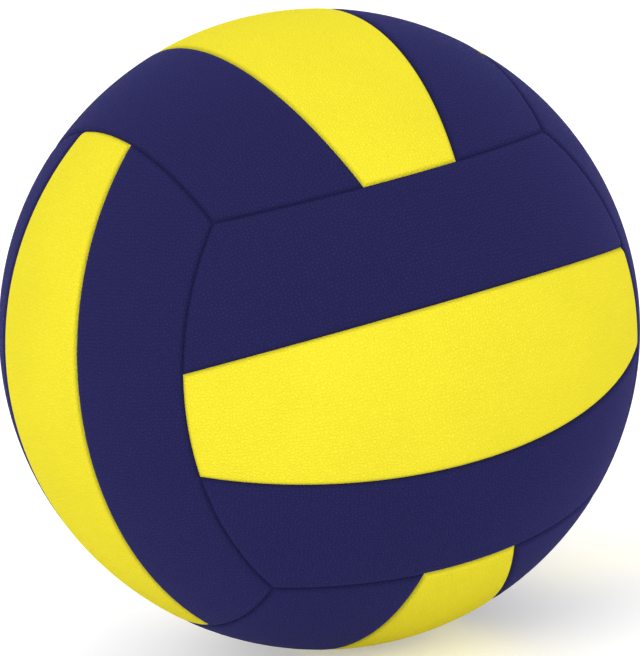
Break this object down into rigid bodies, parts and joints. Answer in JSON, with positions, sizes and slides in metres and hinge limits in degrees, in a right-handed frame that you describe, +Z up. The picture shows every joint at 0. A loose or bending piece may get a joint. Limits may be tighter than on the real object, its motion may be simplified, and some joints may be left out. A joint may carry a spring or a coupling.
{
  "type": "volleyball",
  "caption": "Indoor volleyball with striped faces of yellow centre panels between navy side panels, foam-backed on a wound carcass and inflated through a needle valve.",
  "frame": {"origin": "centre of the ball", "axes": "+Z up through the middle of the top face, -Y out through the middle of the front face, +Y out through the needle valve in the back face, +X out through the right face"},
  "size_m": [0.21, 0.2099, 0.21],
  "materials": {
    "yellow_cover": "satin",
    "blue_cover": "satin",
    "foam": "matte",
    "carcass_rubber": "matte",
    "winding_thread": "matte",
    "bladder_rubber": "satin",
    "valve_rubber": "satin",
    "core_rubber": "matte"
  },
  "bodies": {
    "root": {"front_upper_panel": "blue_cover", "front_centre_panel": "yellow_cover", "front_lower_panel": "blue_cover", "back_upper_panel": "blue_cover", "back_centre_panel": "yellow_cover", "back_lower_panel": "blue_cover", "top_left_panel": "blue_cover", "top_centre_panel": "yellow_cover", "top_right_panel": "blue_cover", "bottom_right_panel": "blue_cover", "bottom_centre_panel": "yellow_cover", "bottom_left_panel": "blue_cover", "left_rear_panel": "blue_cover", "left_centre_panel": "yellow_cover", "left_front_panel": "blue_cover", "right_front_panel": "blue_cover", "right_centre_panel": "yellow_cover", "right_rear_panel": "blue_cover", "front_upper_foam": "foam", "front_centre_foam": "foam", "front_lower_foam": "foam", "back_upper_foam": "foam", "back_centre_foam": "foam", "back_lower_foam": "foam", "top_left_foam": "foam", "top_centre_foam": "foam", "top_right_foam": "foam", "bottom_right_foam": "foam", "bottom_centre_foam": "foam", "bottom_left_foam": "foam", "left_rear_foam": "foam", "left_centre_foam": "foam", "left_front_foam": "foam", "right_front_foam": "foam", "right_centre_foam": "foam", "right_rear_foam": "foam", "carcass": "carcass_rubber", "winding": "winding_thread", "bladder": "bladder_rubber", "valve_housing": "valve_rubber", "valve_core": "core_rubber"}
  },
  "joints": []
}
